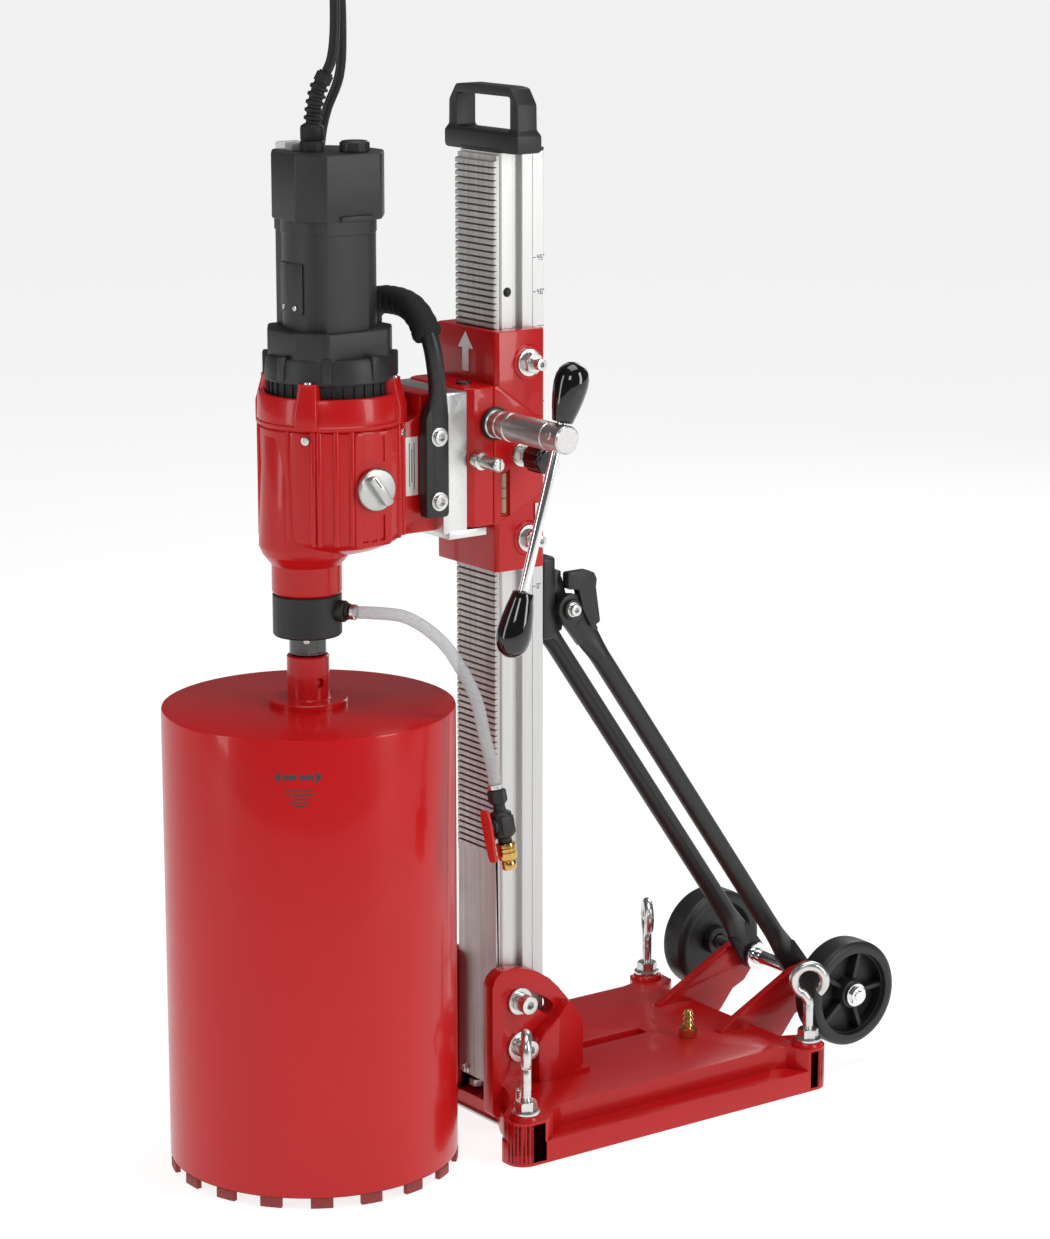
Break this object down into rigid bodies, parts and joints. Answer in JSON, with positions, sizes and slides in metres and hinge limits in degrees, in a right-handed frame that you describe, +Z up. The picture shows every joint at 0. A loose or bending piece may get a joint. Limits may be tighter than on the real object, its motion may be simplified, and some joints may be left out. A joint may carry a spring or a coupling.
{
  "type": "core drill rig",
  "caption": "Diamond core drill rig: tilting rack column on a vacuum base, hand-cranked carriage, motor with gearbox and cup-shaped core bit.",
  "frame": {"origin": "underside of the base plate, below the column's centre line at the front", "axes": "+Z up along the column, +X towards the crank side, +Y towards the wheels; the motor and core bit are at -Y"},
  "size_m": [0.5348, 0.6977, 1.0482],
  "materials": {
    "red_paint": "gloss",
    "black_powder": "satin powder coat",
    "black_plastic": "matte",
    "gloss_black": "gloss",
    "rubber": "matte",
    "aluminium": "satin anodised",
    "rack_steel": "machined, oiled",
    "bright_steel": "zinc plated",
    "chrome": "polished",
    "brass": "satin",
    "clear_hose": "clear braided",
    "vial_glass": "clear",
    "red_lever": "satin",
    "knob_grey": "satin",
    "diamond_metal": "rough sintered"
  },
  "bodies": {
    "base": {"base_plate": "red_paint", "base_seal": "rubber", "vacuum_nipple": "brass", "pivot_bolt_right": "bright_steel", "pivot_bolt_left": "bright_steel", "axle": "chrome", "cord_coil": "rubber", "mains_plug": "rubber"},
    "eye_front_right": {"eye_screw_front_right": "bright_steel"},
    "eye_front_left": {"eye_screw_front_left": "bright_steel"},
    "eye_rear_right": {"eye_screw_rear_right": "bright_steel"},
    "eye_rear_left": {"eye_screw_rear_left": "bright_steel"},
    "wheel_r": {"wheel_right": "black_plastic"},
    "wheel_l": {"wheel_left": "black_plastic"},
    "struts": {"strut_right": "black_powder", "strut_left": "black_powder"},
    "bracket": {"strut_bracket": "black_powder", "bracket_bolt": "bright_steel"},
    "column": {"column_profile": "aluminium", "rack": "rack_steel", "top_handle": "black_plastic", "tilt_lock_bolt_right": "bright_steel", "tilt_lock_bolt_left": "bright_steel"},
    "carriage": {"carriage_housing": "red_paint", "guide_shoe_right": "brass", "guide_shoe_left": "brass", "guide_bolt_upper_right": "bright_steel", "guide_bolt_lower_right": "bright_steel", "guide_bolt_upper_left": "bright_steel", "guide_bolt_lower_left": "bright_steel", "spirit_vial": "vial_glass", "motor_adaptor": "aluminium", "gearbox_housing": "red_paint", "bearing_shield": "red_paint", "motor_housing": "black_plastic", "motor_cap": "black_plastic", "cord_gland": "rubber", "handle_bar": "black_powder", "handle_grip": "rubber", "water_ring": "black_plastic", "water_hose": "clear_hose", "hose_valve": "black_plastic", "hose_coupling": "brass", "mains_cord": "rubber"},
    "rotor": {"armature": "bright_steel"},
    "dial": {"speed_dial": "black_plastic"},
    "switch": {"power_switch": "gloss_black"},
    "tool": {"spindle": "bright_steel", "core_bit": "red_paint", "bit_segments": "diamond_metal"},
    "crank": {"crank_shaft": "bright_steel", "crank_rod": "chrome", "crank_knob_upper": "gloss_black", "crank_knob_lower": "gloss_black"},
    "feed_lock": {"feed_lock_knob": "gloss_black"},
    "clamp": {"adaptor_clamp_screw": "bright_steel"},
    "selector": {"gear_selector": "knob_grey"},
    "lever": {"valve_lever": "red_lever"}
  },
  "joints": [
    {"name": "column_tilt", "type": "hinge", "parent": "base", "child": "column", "pos_m": [0, -0.012, 0.074], "axis": [-1, 0, 0], "range_deg": [0, 15]},
    {"name": "strut_swing", "type": "hinge", "parent": "base", "child": "struts", "pos_m": [0, 0.322, 0.074], "axis": [-1, 0, 0], "range_deg": [0, 17]},
    {"name": "bracket_slide", "type": "slide", "parent": "column", "child": "bracket", "axis": [0, 0, 1], "range_m": [0, 0.095]},
    {"name": "wheel_spin_right", "type": "hinge", "parent": "base", "child": "wheel_r", "pos_m": [0.0985, 0.322, 0.074], "axis": [1, 0, 0], "continuous": true},
    {"name": "wheel_spin_left", "type": "hinge", "parent": "base", "child": "wheel_l", "pos_m": [-0.0985, 0.322, 0.074], "axis": [1, 0, 0], "continuous": true},
    {"name": "eye_turn_front_right", "type": "hinge", "parent": "base", "child": "eye_front_right", "pos_m": [0.12, -0.06, 0.07], "axis": [0, 0, 1], "continuous": true},
    {"name": "eye_turn_front_left", "type": "hinge", "parent": "base", "child": "eye_front_left", "pos_m": [-0.12, -0.06, 0.07], "axis": [0, 0, 1], "continuous": true},
    {"name": "eye_turn_rear_right", "type": "hinge", "parent": "base", "child": "eye_rear_right", "pos_m": [0.12, 0.26, 0.07], "axis": [0, 0, 1], "continuous": true},
    {"name": "eye_turn_rear_left", "type": "hinge", "parent": "base", "child": "eye_rear_left", "pos_m": [-0.12, 0.26, 0.07], "axis": [0, 0, 1], "continuous": true},
    {"name": "carriage_slide", "type": "slide", "parent": "column", "child": "carriage", "axis": [0, 0, 1], "range_m": [-0.27, 0.14]},
    {"name": "crank_turn", "type": "hinge", "parent": "carriage", "child": "crank", "pos_m": [0, -0.0392, 0.63775], "axis": [1, 0, 0], "range_deg": [-660, 1270]},
    {"name": "tool_spin", "type": "hinge", "parent": "carriage", "child": "tool", "pos_m": [0, -0.201, 0.5], "axis": [0, 0, 1], "continuous": true},
    {"name": "rotor_spin", "type": "hinge", "parent": "carriage", "child": "rotor", "pos_m": [0, -0.175, 0.7], "axis": [0, 0, 1], "continuous": true},
    {"name": "dial_turn", "type": "hinge", "parent": "carriage", "child": "dial", "pos_m": [0.022, -0.163, 0.88], "axis": [0, 0, 1], "range_deg": [0, 270]},
    {"name": "switch_rock", "type": "hinge", "parent": "carriage", "child": "switch", "pos_m": [-0.0205, -0.194, 0.877], "axis": [1, 0, 0], "range_deg": [0, 8]},
    {"name": "feed_lock_turn", "type": "hinge", "parent": "carriage", "child": "feed_lock", "pos_m": [0.045, -0.011, 0.608], "axis": [1, 0, 0], "range_deg": [-180, 180]},
    {"name": "clamp_turn", "type": "hinge", "parent": "carriage", "child": "clamp", "pos_m": [0.045, -0.058, 0.608], "axis": [1, 0, 0], "range_deg": [-180, 180]},
    {"name": "selector_turn", "type": "hinge", "parent": "carriage", "child": "selector", "pos_m": [0.062, -0.173, 0.598], "axis": [1, 0, 0], "range_deg": [-60, 60]},
    {"name": "valve_turn", "type": "hinge", "parent": "carriage", "child": "lever", "pos_m": [0.15087, -0.10746, 0.32009], "axis": [0.0147, -0.9955, -0.094], "range_deg": [0, 90]}
  ],
  "couplings": [
    {"joint": "strut_swing", "follows": "column_tilt", "ratio": 1.092},
    {"joint": "bracket_slide", "follows": "column_tilt", "m_per_rad": 0.35528},
    {"joint": "crank_turn", "follows": "carriage_slide", "rad_per_m": -81.6},
    {"joint": "rotor_spin", "follows": "tool_spin", "ratio": -3.5}
  ]
}
